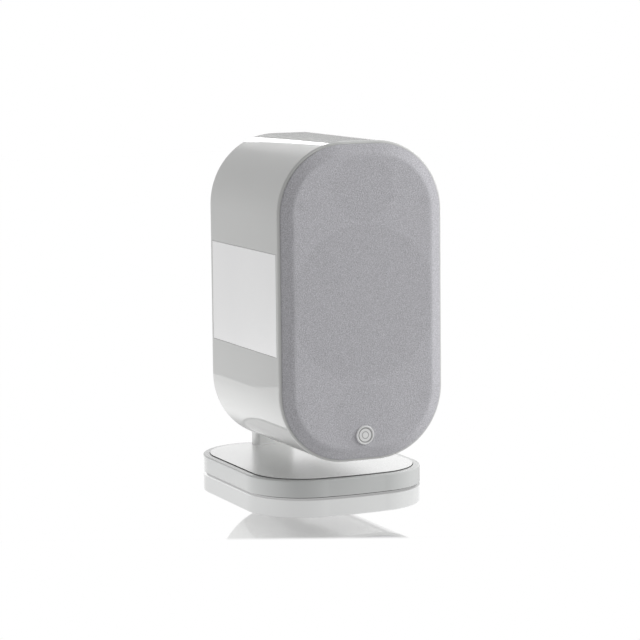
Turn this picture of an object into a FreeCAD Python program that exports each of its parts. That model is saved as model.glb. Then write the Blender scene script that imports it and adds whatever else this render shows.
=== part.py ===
import FreeCAD
import Part
import os
from math import atan, cos, pi, sin

V = FreeCAD.Vector

# Two-way bookshelf speaker on a low stand. Millimetres, +X right seen from the front, the front faces -Y,
# +Z up. The origin is on the desk, under the middle of the cabinet.

# Cabinet
CAB_W = 140.0
CAB_H = 250.0
CAB_D = 140.0
CAB_R = 56.0            # corner radius seen from the front
WALL = 4.5
RIM_R = 2.0             # rounding of the front edge
BACK_R = 4.0            # rounding of the rear edge
CAB_LIFT = 14.8         # air between the stand's base and the cabinet
PANEL_H = 79.4          # inlaid side panels
PANEL_T = 1.2
PANEL_SEAM = 0.3
PANEL_FRONT = 5.0       # from the cabinet's front plane
PANEL_BACK = 6.0        # from the cabinet's rear plane
INLAY = 0.05            # glue line under an inlaid piece

# Front baffle
BAFFLE_T = 8.0
BAFFLE_SINK = 5.0
BAFFLE_GAP = 0.15
SEAL_T = 1.5
LEDGE_W = 5.0
LEDGE_T = 5.0
BAFFLE_SCREW_Z = 35.0

# Grille
GRILLE_GAP = 0.3
GRILLE_EDGE = 0.4
GRILLE_BEVEL_W = 8.75
GRILLE_BEVEL_D = 4.0
CLOTH_T = 0.5
OPENING_LAP = 1.5       # frame over the rim of the woofer's flange
SMALL_OPENING_R = 24.0
PEG_SIDE = 18.0         # peg centres from the cabinet's side, and from its top or bottom
PEG_END = 48.0
PEG_R = 2.4
PEG_L = 9.0
GROMMET_T = 1.5
RUNNING = 0.05          # radial clearance of turning and sliding fits
BADGE_R = 7.5
BADGE_T = 1.3
BADGE_UP = 21.0         # badge centre above the cabinet's lowest line
BADGE_WEB = 3.0         # frame round the badge

# Woofer
WOOFER_R = 59.0         # basket flange
FLANGE_T = 3.0
RING_T = 1.0
RING_PROUD = 2.0        # how far the trim ring covers past the flange
WOOFER_SEAL_T = 0.8
FLANGE_LAP = 9.0        # flange outside the hole in the baffle
BASKET_GAP = 1.0
BASKET_T = 2.0
SURROUND_W = 10.0
SURROUND_T = 0.7
ROLL_H = 3.6
SHEET_T = 0.8           # cone paper
CONE_DEPTH = 14.0
COIL_R = 12.5
COIL_T = 0.5
COIL_GAP = 0.4
BASKET_DEPTH = 31.0     # flange back to the magnet system
SPIDER_UP = 7.0         # spider in front of the basket's rear ring
SPIDER_OUT = 29.0
SPIDER_T = 0.6
CAP_LAP = 1.5           # dust cap past the voice coil
CAP_CLEAR = 0.1
CAP_H = 5.0
PLATE_T = 4.0
MAGNET_R = 36.0
MAGNET_T = 14.0
WINDOWS = 6

# Tweeter
TWEETER_DROP = 36.0     # centre below the cabinet's top line
FACE_R = 25.0
FACE_T = 3.0
GUIDE_R = 19.0
DOME_R = 12.0
DOME_H = 3.2
DOME_T = 0.4
DOME_ROLL = 2.0
DOME_COIL_T = 0.3
DOME_GAP = 0.4
T_PLATE_R = 18.5
T_PLATE_T = 3.0
T_MAGNET_T = 8.0
TWEETER_HOLE_GAP = 0.5

# Reflex port
PORT_RISE = 36.0        # centre above the cabinet's lowest line
PORT_R = 13.5
PORT_T = 2.0
PORT_FACE_R = 25.0
PORT_FACE_T = 2.5
PORT_L = 75.0
PORT_ROUND = 5.0        # radius of the mouth's rounding

# Rear terminals
TERM_UP = 50.0
TERM_W = 62.0
TERM_H = 32.0
TERM_T = 2.2
TERM_X = 19.0
STUD_R = 3.0
SOCKET_R = 2.0
SOCKET_L = 18.0
STUD_OUT = 20.0
STUD_IN = 12.0
INSULATOR_R = 6.5
INSULATOR_T = 2.0
WASHER_T = 1.2
BODY_GAP = 0.3          # air between pieces that move apart
KNOB_R = 6.5
KNOB_L = 12.0
FLUTES = 12

# Crossover
BOARD_W = 60.0
BOARD_H = 56.0
BOARD_T = 1.6
BOARD_DOWN = 66.0
STANDOFF_L = 7.5
WIRE_R = 1.1
WIRE_BEND = 3.0         # every bend is a right angle

# Tilting bracket on the cabinet's back
BRACKET_W = 60.0
BRACKET_T = 3.0
TILT_OUT = 16.0         # tilt axis behind the cabinet's back
EAR_T = 5.0
EAR_R = 9.0
TILT_R = 4.0
LUG_HALF = 5.0
FRICTION_T = 1.0
BRACKET_SCREW = 22.0

# Stand
BASE_W = 147.0
BASE_D = 182.0
BASE_R = 49.0
BASE_H = 14.5
BASE_FRONT = 60.0       # front edge ahead of the cabinet's middle
FRONT_BULGE = 2.3
BASE_EDGE_R = 1.0
PAD_INSET = 5.2
PAD_T = 4.0
PAD_RISE = 0.7          # pad's top above the rim round it
PAD_GAP = 0.5
MAT_T = 1.0
MAT_INSET = 2.5
BALLAST_INSET = 8.0
BALLAST_T = 6.0
COLUMN_W = 36.0
COLUMN_D = 12.0
COLUMN_Y = 107.5
COLUMN_R = 4.0
COLUMN_TOP = 120.0
PAN_R = 3.5
BUSH_T = 1.0
PAN_L = 24.0
HEAD_W = 26.0

# Fasteners: radius of the shank, radius and height of the head
SMALL = (1.3, 2.2, 1.2)
MEDIUM = (2.0, 3.6, 2.4)
LARGE = (2.5, 4.5, 3.0)

# Places that follow from the sizes above
ZC = BASE_H + CAB_LIFT + CAB_H / 2
FRONT = -CAB_D / 2
BACK = CAB_D / 2
IN_W = CAB_W - 2 * WALL
IN_H = CAB_H - 2 * WALL
IN_R = CAB_R - WALL
BAFFLE_Y = FRONT + BAFFLE_SINK
BAFFLE_BACK = BAFFLE_Y + BAFFLE_T
LEDGE_Y = BAFFLE_BACK + SEAL_T
GRILLE_BACK = FRONT - GRILLE_GAP
GRILLE_FACE = GRILLE_BACK - GRILLE_EDGE - GRILLE_BEVEL_D
INNER_BACK = BACK - WALL
TILT_Y = BACK + TILT_OUT
TWEETER_Z = ZC + CAB_H / 2 - TWEETER_DROP
PORT_Z = ZC - CAB_H / 2 + PORT_RISE
CUTOUT_R = WOOFER_R - FLANGE_LAP
TERM_Z = ZC + TERM_UP
BOARD_Z = ZC - BOARD_DOWN
BASE_MID = BASE_D / 2 - BASE_FRONT
EAR_X = LUG_HALF + FRICTION_T + BODY_GAP


def save(name, shape):
    """Write one node as STEP, with every solid the right way out."""
    solids = [s if s.Volume > 0 else s.reversed() for s in shape.Solids]
    kept = solids[0] if len(solids) == 1 else Part.makeCompound(solids)
    if not kept.isValid():
        print("not valid:", name)
    kept.exportStep("parts/" + name + ".step")


def rounded_outline(width, height, radius, at):
    """Closed wire of a rounded rectangle; at(u, v) puts a flat point in space."""
    u = width / 2
    v = height / 2
    k = radius * (1 - cos(pi / 4))
    r = radius
    edges = []
    for su, sv in ((1, 1), (-1, 1), (-1, -1), (1, -1)):
        a = at(su * u, sv * (v - r))
        b = at(su * (u - r), sv * v)
        if su * sv < 0:
            a, b = b, a
        edges.append(Part.Arc(a, at(su * (u - k), sv * (v - k)), b).toShape())
        nxt = {(1, 1): at(-(u - r), v), (-1, 1): at(-u, -(v - r)), (-1, -1): at(u - r, -v),
               (1, -1): at(u, v - r)}[(su, sv)]
        if (b - nxt).Length > 1e-6:
            edges.append(Part.makeLine(b, nxt))
    return Part.Wire(edges)


def upright(width, height, radius, y0, y1, x=0.0, z=ZC):
    """Rounded plate standing in the XZ plane, from y0 to y1."""
    wire = rounded_outline(width, height, radius, lambda u, v: V(x + u, y0, z + v))
    return Part.Face(wire).extrude(V(0, y1 - y0, 0))


def lying(width, depth, radius, z0, z1, y=0.0, x=0.0):
    """Rounded plate lying in the XY plane, from z0 to z1."""
    wire = rounded_outline(width, depth, radius, lambda u, v: V(x + u, y + v, z0))
    return Part.Face(wire).extrude(V(0, 0, z1 - z0))


def box(x0, x1, y0, y1, z0, z1):
    return Part.makeBox(x1 - x0, y1 - y0, z1 - z0, V(x0, y0, z0))


def rod_y(radius, y0, y1, x=0.0, z=ZC):
    return Part.makeCylinder(radius, y1 - y0, V(x, y0, z), V(0, 1, 0))


def ring_y(outer, inner, y0, y1, x=0.0, z=ZC):
    return rod_y(outer, y0, y1, x, z).cut(rod_y(inner, y0 - 1, y1 + 1, x, z))


def turned(outline, x=0.0, z=ZC):
    """Body turned about a line along Y; an item of the outline is a point (r, y) or an arc (middle, end)."""
    edges = []
    last = outline[0]
    for item in outline[1:] + outline[:1]:
        if isinstance(item[0], tuple):
            middle, end = item
            edges.append(Part.Arc(V(x + last[0], last[1], z), V(x + middle[0], middle[1], z),
                                  V(x + end[0], end[1], z)).toShape())
        else:
            end = item
            edges.append(Part.makeLine(V(x + last[0], last[1], z), V(x + end[0], end[1], z)))
        last = end
    return Part.Face(Part.Wire(edges)).revolve(V(x, 0, z), V(0, 1, 0), 360)


def crown(radius, height):
    """Middle of the arc from the rim of a cap to its top, as its radius and its height above the rim."""
    half = atan(height / radius)
    ball = (radius * radius + height * height) / (2 * height)
    return ball * sin(half), ball * cos(half) - (ball - height)


def dome(radius, height, thick, seat, z):
    """Thin spherical cap with its rim at seat, bulging to the front."""
    r_out, up_out = crown(radius, height)
    r_in, up_in = crown(radius - thick, height - thick)
    return turned([(radius, seat), ((r_out, seat - up_out), (0.0, seat - height)),
                   (0.0, seat - height + thick),
                   ((r_in, seat - up_in), (radius - thick, seat))], 0, z)


def screw_y(size, head_y, length, x, z, way=1):
    """Screw along Y: its head's top is at head_y, and it goes in along way."""
    shank_r, head_r, head_h = size
    axis = V(0, way, 0)
    head = Part.makeCylinder(head_r, head_h, V(x, head_y, z), axis)
    drive = Part.makeCylinder(shank_r * 0.7, head_h * 0.5, V(x, head_y, z), axis)
    shank = Part.makeCylinder(shank_r, length, V(x, head_y + way * head_h, z), axis)
    return head.cut(drive).fuse(shank)


def screw_space_y(size, head_y, length, x, z, way=1):
    """The room that such a screw takes, from a little in front of its head."""
    shank_r, head_r, head_h = size
    axis = V(0, way, 0)
    head = Part.makeCylinder(head_r, head_h + 20, V(x, head_y - way * 20, z), axis)
    return head.fuse(Part.makeCylinder(shank_r, length, V(x, head_y + way * head_h, z), axis))


def screw_up(size, head_z, length, x, y):
    """Screw pointing up, with its head's underside at head_z."""
    shank_r, head_r, head_h = size
    head = Part.makeCylinder(head_r, head_h, V(x, y, head_z))
    drive = Part.makeCylinder(shank_r * 0.7, head_h * 0.5, V(x, y, head_z))
    return head.cut(drive).fuse(Part.makeCylinder(shank_r, length, V(x, y, head_z + head_h)))


def screw_up_space(size, head_z, length, x, y):
    shank_r, head_r, head_h = size
    head = Part.makeCylinder(head_r, head_h + 20, V(x, y, head_z - 20))
    return head.fuse(Part.makeCylinder(shank_r, length, V(x, y, head_z + head_h)))


def cut_all(shape, tools):
    for tool in tools:
        shape = shape.cut(tool)
    return shape


def corners(dx, dz):
    return [(sx * dx, sz * dz) for sx in (1, -1) for sz in (1, -1)]


def around(count, radius, turn=0.0):
    return [(radius * cos(turn + 2 * pi * i / count), radius * sin(turn + 2 * pi * i / count))
            for i in range(count)]


# Screw places, shared by the screws and by the holes for them

BAFFLE_SCREWS = [(sx * (IN_W / 2 - LEDGE_W / 2), ZC + sz * BAFFLE_SCREW_Z)
                 for sx in (1, -1) for sz in (1, -1)]
BAFFLE_SCREWS += [(0.0, ZC + sz * (IN_H / 2 - LEDGE_W / 2)) for sz in (1, -1)]
BAFFLE_SCREW_L = BAFFLE_T + SEAL_T + LEDGE_T - SMALL[2] - 1.0
PEGS = [(x, ZC + z) for x, z in corners(CAB_W / 2 - PEG_SIDE, CAB_H / 2 - PEG_END)]
FLANGE_BACK = BAFFLE_Y - WOOFER_SEAL_T
FLANGE_FACE = FLANGE_BACK - FLANGE_T
RING_FACE = FLANGE_FACE - RING_T
WOOFER_SCREW_R = (WOOFER_R + CUTOUT_R) / 2
WOOFER_SCREWS = [(x, ZC + z) for x, z in around(4, WOOFER_SCREW_R, pi / 4)]
WOOFER_SCREW_L = FLANGE_T + BAFFLE_T - SMALL[2] - 1.0
TWEETER_SCREW_R = (FACE_R + GUIDE_R) / 2 - 0.4
TWEETER_SCREWS = [(x, TWEETER_Z + z) for x, z in around(3, TWEETER_SCREW_R, pi / 2)]
TWEETER_SCREW_L = FACE_T + BAFFLE_T - SMALL[2] - 1.0
TERM_SCREWS = [(x, TERM_Z + z) for x, z in corners(TERM_W / 2 - 4.5, TERM_H / 2 - 4.5)]
TERM_FACE = BACK + TERM_T
BRACKET_SCREWS = [(x, ZC + z) for x, z in corners(BRACKET_SCREW, BRACKET_SCREW)]
BRACKET_SCREW_L = BRACKET_T + WALL - 0.5


def baffle_screw_spaces():
    return [screw_space_y(SMALL, BAFFLE_Y, BAFFLE_SCREW_L, x, z) for x, z in BAFFLE_SCREWS]


def woofer_screw_spaces():
    return [screw_space_y(SMALL, FLANGE_FACE, WOOFER_SCREW_L, x, z) for x, z in WOOFER_SCREWS]


def tweeter_screw_spaces():
    return [screw_space_y(SMALL, BAFFLE_Y - FACE_T, TWEETER_SCREW_L, x, z) for x, z in TWEETER_SCREWS]


def terminal_screw_spaces():
    return [screw_space_y(SMALL, TERM_FACE, WALL + 1.0, x, z, -1) for x, z in TERM_SCREWS]


def bracket_screw_spaces():
    return [screw_space_y(MEDIUM, BACK + BRACKET_T, BRACKET_SCREW_L - MEDIUM[2], x, z, -1)
            for x, z in BRACKET_SCREWS]


# Cabinet body

def panel_block(side, grow, depth):
    """Slice of the cabinet's side that an inlaid panel fills; side is 1 or -1."""
    half = PANEL_H / 2 + grow
    outer = side * (CAB_W / 2 + 1)
    inner = side * (CAB_W / 2 - depth)
    return box(min(outer, inner), max(outer, inner), FRONT + PANEL_FRONT - grow, BACK - PANEL_BACK + grow,
               ZC - half, ZC + half)


def cabinet_outer():
    body = upright(CAB_W, CAB_H, CAB_R, FRONT, BACK)
    front_edges = [e for e in body.Edges
                   if abs(e.BoundBox.YMin - FRONT) < 1e-6 and e.BoundBox.YLength < 1e-6]
    body = body.makeFillet(RIM_R, front_edges)
    back_edges = [e for e in body.Edges if abs(e.BoundBox.YMin - BACK) < 1e-6 and e.BoundBox.YLength < 1e-6]
    return body.makeFillet(BACK_R, back_edges)


def cabinet_shell(outer):
    shell = outer.cut(upright(IN_W, IN_H, IN_R, FRONT - 1, LEDGE_Y))
    shell = shell.cut(upright(IN_W, IN_H, IN_R, LEDGE_Y + LEDGE_T, INNER_BACK))
    shell = shell.cut(upright(IN_W - 2 * LEDGE_W, IN_H - 2 * LEDGE_W, IN_R - LEDGE_W, FRONT - 1,
                              BACK - WALL))
    for side in (1, -1):
        shell = shell.cut(panel_block(side, PANEL_SEAM, PANEL_T + INLAY))
    holes = [rod_y(STUD_R + 1, INNER_BACK - 1, BACK + 1, side * TERM_X, TERM_Z) for side in (1, -1)]
    return cut_all(shell, holes + baffle_screw_spaces() + terminal_screw_spaces() + bracket_screw_spaces())


def side_panel(outer, side):
    return outer.common(panel_block(side, 0.0, PANEL_T))


def baffle_gasket():
    outline = upright(IN_W - 2 * BAFFLE_GAP, IN_H - 2 * BAFFLE_GAP, IN_R - BAFFLE_GAP, BAFFLE_BACK, LEDGE_Y)
    inner = upright(IN_W - 2 * LEDGE_W, IN_H - 2 * LEDGE_W, IN_R - LEDGE_W, BAFFLE_BACK - 1, LEDGE_Y + 1)
    return cut_all(outline.cut(inner), baffle_screw_spaces())


def front_baffle():
    plate = upright(IN_W - 2 * BAFFLE_GAP, IN_H - 2 * BAFFLE_GAP, IN_R - BAFFLE_GAP, BAFFLE_Y, BAFFLE_BACK)
    y0 = BAFFLE_Y - 1
    y1 = BAFFLE_BACK + 1
    holes = [rod_y(CUTOUT_R, y0, y1), rod_y(T_PLATE_R + TWEETER_HOLE_GAP, y0, y1, 0, TWEETER_Z)]
    holes.append(rod_y(PORT_R + PORT_T, y0, y1, 0, PORT_Z))
    holes += [rod_y(PEG_R + RUNNING + GROMMET_T, y0, y1, x, z) for x, z in PEGS]
    return cut_all(plate, holes + baffle_screw_spaces() + woofer_screw_spaces() + tweeter_screw_spaces())


def baffle_screws():
    return Part.makeCompound([screw_y(SMALL, BAFFLE_Y, BAFFLE_SCREW_L, x, z) for x, z in BAFFLE_SCREWS])


def grille_grommets():
    bore = PEG_R + RUNNING
    return Part.makeCompound([ring_y(bore + GROMMET_T, bore, BAFFLE_Y, BAFFLE_BACK, x, z) for x, z in PEGS])


# Woofer

BASKET_TOP_R = CUTOUT_R - BASKET_GAP
REAR_RING_Y = FLANGE_BACK + BASKET_DEPTH
SPIDER_Y = REAR_RING_Y - SPIDER_UP
COIL_OUT = COIL_R + COIL_T
BASKET_REAR_R = SPIDER_OUT + BASKET_T + 1.0
CONE_R = BASKET_TOP_R - BASKET_T - SURROUND_W + 1.0
CONE_EDGE = FLANGE_BACK + 0.5
PLATE_R = BASKET_REAR_R - 3.0
GAP_R = COIL_OUT + COIL_GAP
MAGNET_Y = REAR_RING_Y + PLATE_T


def woofer_gasket():
    return cut_all(ring_y(WOOFER_R, CUTOUT_R, FLANGE_BACK, BAFFLE_Y), woofer_screw_spaces())


def woofer_basket():
    """Flange, six-spoked cone frame, spider shelf and rear ring in one casting."""
    wall = BASKET_T
    flange = ring_y(WOOFER_R, BASKET_TOP_R - wall, FLANGE_FACE, FLANGE_BACK)
    frame = turned([(BASKET_TOP_R - wall, FLANGE_BACK), (BASKET_TOP_R, FLANGE_BACK),
                    (BASKET_REAR_R + wall, REAR_RING_Y), (BASKET_REAR_R, REAR_RING_Y)])
    window_w = pi * (BASKET_REAR_R + BASKET_TOP_R) / WINDOWS * 0.55
    for i in range(WINDOWS):
        cutter = box(-window_w / 2, window_w / 2, FLANGE_BACK + 5, SPIDER_Y - 3, ZC + SPIDER_OUT + 1,
                     ZC + CUTOUT_R + 5)
        cutter.rotate(V(0, 0, ZC), V(0, 1, 0), 360.0 * i / WINDOWS)
        frame = frame.cut(cutter)
    rear = ring_y(BASKET_REAR_R + wall, COIL_OUT + 3.0, REAR_RING_Y - wall, REAR_RING_Y)
    taper = (BASKET_TOP_R - wall - BASKET_REAR_R) / BASKET_DEPTH
    shelf_r = BASKET_REAR_R + taper * (SPIDER_UP - wall) + wall * 0.5
    shelf = ring_y(shelf_r, SPIDER_OUT - 2.0, SPIDER_Y, SPIDER_Y + wall)
    basket = flange.fuse(frame).fuse(rear).fuse(shelf)
    return cut_all(basket, woofer_screw_spaces())


def woofer_trim_ring():
    inner = BASKET_TOP_R - BASKET_T - 1.0
    outer = WOOFER_R + RING_PROUD
    return turned([(inner, FLANGE_FACE), (outer, FLANGE_FACE), (outer, RING_FACE + RING_T * 0.4),
                   (outer - 1.0, RING_FACE), (inner + 2.0, RING_FACE), (inner, RING_FACE + RING_T * 0.6)])


def woofer_front_plate():
    return ring_y(PLATE_R, GAP_R, REAR_RING_Y, MAGNET_Y)


def woofer_magnet():
    return ring_y(MAGNET_R, GAP_R + 3.0, MAGNET_Y, MAGNET_Y + MAGNET_T)


def woofer_yoke():
    """Back plate with the pole that stands in the voice coil."""
    plate = rod_y(MAGNET_R - 3.0, MAGNET_Y + MAGNET_T, MAGNET_Y + MAGNET_T + PLATE_T)
    pole = rod_y(COIL_R - COIL_GAP, REAR_RING_Y, MAGNET_Y + MAGNET_T)
    vent = rod_y(4.0, REAR_RING_Y - 1, MAGNET_Y + MAGNET_T + PLATE_T + 1)
    return plate.fuse(pole).cut(vent)


def woofer_surround():
    """Half-roll of rubber from the cone's edge to the basket's flange."""
    inner = CONE_R
    outer = BASKET_TOP_R - BASKET_T
    mid = (inner + outer) / 2
    lip = CONE_EDGE - SHEET_T
    t = SURROUND_T
    return turned([(inner - 2.0, lip), (inner, lip), ((mid, lip - ROLL_H + t), (outer, lip)),
                   (outer, lip - t), ((mid, lip - ROLL_H), (inner, lip - t)), (inner - 2.0, lip - t)])


def woofer_spider():
    return ring_y(SPIDER_OUT, COIL_OUT, SPIDER_Y - SPIDER_T, SPIDER_Y)


def woofer_cone():
    """Paper cone from the voice coil to the surround, with a straight flare."""
    neck = CONE_EDGE + CONE_DEPTH
    return turned([(COIL_OUT, neck), (CONE_R, CONE_EDGE), (CONE_R, CONE_EDGE - SHEET_T),
                   (CONE_R - 2.5, CONE_EDGE - SHEET_T), (COIL_OUT, neck - 2 * SHEET_T)])


def woofer_dust_cap():
    """Domed cap glued to the cone over the voice coil."""
    radius = COIL_R + CAP_LAP
    rise = (radius - COIL_OUT) * CONE_DEPTH / (CONE_R - COIL_OUT)
    seat = CONE_EDGE + CONE_DEPTH - 2 * SHEET_T - rise - CAP_CLEAR
    return dome(radius, CAP_H, SHEET_T, seat, ZC)


def woofer_voice_coil():
    neck = CONE_EDGE + CONE_DEPTH
    former = ring_y(COIL_R + COIL_T * 0.4, COIL_R, neck - 2 * SHEET_T, MAGNET_Y + 3.0)
    winding = ring_y(COIL_OUT, COIL_R + COIL_T * 0.3, REAR_RING_Y - 2.0, MAGNET_Y + 2.0)
    collar = ring_y(COIL_OUT, COIL_R, neck - 2 * SHEET_T, SPIDER_Y)
    return former.fuse(winding).fuse(collar)


# Tweeter

T_FACE = BAFFLE_Y - FACE_T
T_GAP_R = DOME_R + DOME_COIL_T + DOME_GAP
T_MAGNET_Y = BAFFLE_Y + T_PLATE_T
T_YOKE_Y = T_MAGNET_Y + T_MAGNET_T
T_RIM = DOME_R + DOME_ROLL + 0.5
DOME_Y = BAFFLE_Y - 0.6


def tweeter_faceplate():
    """Plate with a short curved wave guide in front of the dome."""
    mouth = ((GUIDE_R + T_RIM) / 2 - 0.8, T_FACE + FACE_T * 0.38)
    plate = turned([(T_RIM, BAFFLE_Y), (FACE_R, BAFFLE_Y), (FACE_R, T_FACE + 0.8), (FACE_R - 0.8, T_FACE),
                    (GUIDE_R, T_FACE), (mouth, (T_RIM, BAFFLE_Y - 1.2))], 0, TWEETER_Z)
    return cut_all(plate, tweeter_screw_spaces())


def driver_screws():
    woofer = [screw_y(SMALL, FLANGE_FACE, WOOFER_SCREW_L, x, z) for x, z in WOOFER_SCREWS]
    tweeter = [screw_y(SMALL, T_FACE, TWEETER_SCREW_L, x, z) for x, z in TWEETER_SCREWS]
    return Part.makeCompound(woofer + tweeter)


def tweeter_front_plate():
    return ring_y(T_PLATE_R, T_GAP_R, BAFFLE_Y, T_MAGNET_Y, 0, TWEETER_Z)


def tweeter_magnet():
    return ring_y(T_PLATE_R - 1.5, T_GAP_R + 1.5, T_MAGNET_Y, T_YOKE_Y, 0, TWEETER_Z)


def tweeter_yoke():
    plate = rod_y(T_PLATE_R - 1.0, T_YOKE_Y, T_YOKE_Y + T_PLATE_T, 0, TWEETER_Z)
    return plate.fuse(rod_y(DOME_R - DOME_GAP, BAFFLE_Y + 0.4, T_YOKE_Y, 0, TWEETER_Z))


def tweeter_surround():
    """Small half-roll between the dome and the faceplate."""
    inner = DOME_R + DOME_COIL_T
    mid = inner + DOME_ROLL / 2
    outer = inner + DOME_ROLL
    t = 0.25
    return turned([(inner, DOME_Y), ((mid, DOME_Y - 0.9), (outer, DOME_Y)), (outer, BAFFLE_Y),
                   (outer - t, BAFFLE_Y), (outer - t, DOME_Y + t),
                   ((mid, DOME_Y - 0.9 + t), (inner, DOME_Y + t))],
                  0, TWEETER_Z)


def tweeter_dome():
    return dome(DOME_R, DOME_H, DOME_T, DOME_Y, TWEETER_Z)


def tweeter_voice_coil():
    return ring_y(DOME_R + DOME_COIL_T, DOME_R, DOME_Y, T_MAGNET_Y + 1.0, 0, TWEETER_Z)


def port_tube():
    """Flared mouth on the baffle and a straight tube into the cabinet."""
    outer = PORT_R + PORT_T
    face = BAFFLE_Y - PORT_FACE_T
    mouth = PORT_R + PORT_ROUND
    bend = (mouth - PORT_ROUND * cos(pi / 4), face + PORT_ROUND * (1 - cos(pi / 4)))
    return turned([(outer, BAFFLE_Y), (PORT_FACE_R, BAFFLE_Y), (PORT_FACE_R, face + 0.8),
                   (PORT_FACE_R - 0.8, face), (mouth, face), (bend, (PORT_R, face + PORT_ROUND)),
                   (PORT_R, face + PORT_L), (outer, face + PORT_L)], 0, PORT_Z)


def acoustic_wadding():
    """Loose fill behind the woofer, clear of the drivers, the board and the terminals."""
    front = MAGNET_Y + MAGNET_T + PLATE_T + 8.0
    rear = INNER_BACK - STUD_IN - 3.0
    low = BOARD_Z + BOARD_H / 2 + 8.0
    high = ZC + IN_H / 2 - 12.0
    reach = IN_R - 12.0 + (IN_W / 2 - IN_R) - 2.0
    return upright(2 * reach, high - low, 20.0, front, rear, 0, (high + low) / 2)


# Crossover and wiring

BOARD_BACK = INNER_BACK - STANDOFF_L
BOARD_FACE = BOARD_BACK - BOARD_T


def crossover_board():
    plate = upright(BOARD_W, BOARD_H, 2.0, BOARD_FACE, BOARD_BACK, 0, BOARD_Z)
    holes = [rod_y(1.5, BOARD_FACE - 1, BOARD_BACK + 1, x, BOARD_Z + z)
             for x, z in corners(BOARD_W / 2 - 5, BOARD_H / 2 - 5)]
    return cut_all(plate, holes)


def crossover_standoffs():
    posts = []
    for x, z in corners(BOARD_W / 2 - 5, BOARD_H / 2 - 5):
        post = rod_y(3.0, BOARD_BACK, INNER_BACK, x, BOARD_Z + z)
        neck = rod_y(1.5, BOARD_FACE, BOARD_BACK, x, BOARD_Z + z)
        cap = rod_y(2.6, BOARD_FACE - 1.2, BOARD_FACE, x, BOARD_Z + z)
        posts.append(post.fuse(neck).fuse(cap))
    return Part.makeCompound(posts)


def crossover_coils():
    coils = []
    for x, radius in ((-BOARD_W / 4, 12.0), (BOARD_W / 4, 9.0)):
        middle = BOARD_Z + 6.0
        body = ring_y(radius - 1.5, 4.0, BOARD_FACE - 11, BOARD_FACE - 1, x, middle)
        ends = [ring_y(radius, 4.0, y, y + 1, x, middle) for y in (BOARD_FACE - 12, BOARD_FACE - 1)]
        coils.append(body.fuse(ends[0]).fuse(ends[1]))
    return Part.makeCompound(coils)


def crossover_capacitors():
    cans = []
    for x, radius in ((-13.0, 5.0), (13.0, 4.0)):
        can = Part.makeCylinder(radius, 22.0, V(x - 11.0, BOARD_FACE - radius, BOARD_Z - 16.0), V(1, 0, 0))
        cans.append(can)
    return Part.makeCompound(cans)


def wire_run(points):
    """Insulated wire along straight runs that meet in round bends."""
    edges = []
    last = points[0]
    for before, corner, after in zip(points[:-2], points[1:-1], points[2:]):
        into = (corner - before).normalize()
        away = (after - corner).normalize()
        a = corner - into * WIRE_BEND
        b = corner + away * WIRE_BEND
        middle = corner + (away - into) * (WIRE_BEND * (1 - cos(pi / 4)))
        edges += [Part.makeLine(last, a), Part.Arc(a, middle, b).toShape()]
        last = b
    edges.append(Part.makeLine(last, points[-1]))
    section = Part.Wire(Part.makeCircle(WIRE_R, points[0], points[1] - points[0]))
    return Part.Wire(edges).makePipeShell([section], True, True)


def driver_wires(side, end_y, end_z, end_x):
    """Pair of wires from the board's edge along the cabinet's side to a driver."""
    reach = IN_W / 2 - 4.0
    start_y = BOARD_FACE - 2.0
    pair = []
    for i in (0, 1):
        z0 = BOARD_Z + 6.0 + i * 5.0
        lane = start_y - 4.0 * i
        points = [V(side * (BOARD_W / 2 - 2.0), lane, z0), V(side * (reach - 4.0 * i), lane, z0),
                  V(side * (reach - 4.0 * i), lane, end_z - 4.0 * i),
                  V(side * (reach - 4.0 * i), end_y + 4.0 * i, end_z - 4.0 * i),
                  V(side * end_x, end_y + 4.0 * i, end_z - 4.0 * i)]
        pair.append(wire_run(points))
    return Part.makeCompound(pair)


def woofer_wires():
    return driver_wires(1, MAGNET_Y + MAGNET_T * 0.3, ZC, MAGNET_R + 0.5)


def tweeter_wires():
    behind = max(T_YOKE_Y + T_PLATE_T, LEDGE_Y + LEDGE_T)
    return driver_wires(-1, behind + 1.0 + WIRE_R, TWEETER_Z - 12.0, 4.0)


# Rear terminals

def terminal_plate():
    """Moulded plate with a raised collar round each post."""
    plate = upright(TERM_W, TERM_H, 6.0, BACK, TERM_FACE, 0, TERM_Z)
    for side in (1, -1):
        plate = plate.fuse(rod_y(INSULATOR_R, TERM_FACE - 1, TERM_FACE + INSULATOR_T, side * TERM_X, TERM_Z))
    holes = [rod_y(STUD_R, BACK - 1, TERM_FACE + INSULATOR_T + 1, side * TERM_X, TERM_Z) for side in (1, -1)]
    return cut_all(plate, holes + terminal_screw_spaces())


def terminal_screws():
    return Part.makeCompound([screw_y(SMALL, TERM_FACE, WALL + 1.0, x, z, -1) for x, z in TERM_SCREWS])


STUD_END = TERM_FACE + STUD_OUT


def terminal_studs():
    """Two threaded posts, each bored for a plug."""
    studs = []
    for side in (1, -1):
        stud = rod_y(STUD_R, INNER_BACK - STUD_IN, STUD_END, side * TERM_X, TERM_Z)
        studs.append(stud.cut(rod_y(SOCKET_R, STUD_END - SOCKET_L, STUD_END + 1, side * TERM_X, TERM_Z)))
    return Part.makeCompound(studs)


def terminal_nuts():
    return Part.makeCompound([ring_y(STUD_R + 2.5, STUD_R, INNER_BACK - 3.5, INNER_BACK, side * TERM_X,
                                     TERM_Z)
                              for side in (1, -1)])


def clamp_washer(side):
    y = TERM_FACE + INSULATOR_T + BODY_GAP
    return ring_y(INSULATOR_R - 1.0, STUD_R + RUNNING, y, y + WASHER_T, side * TERM_X, TERM_Z)


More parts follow.
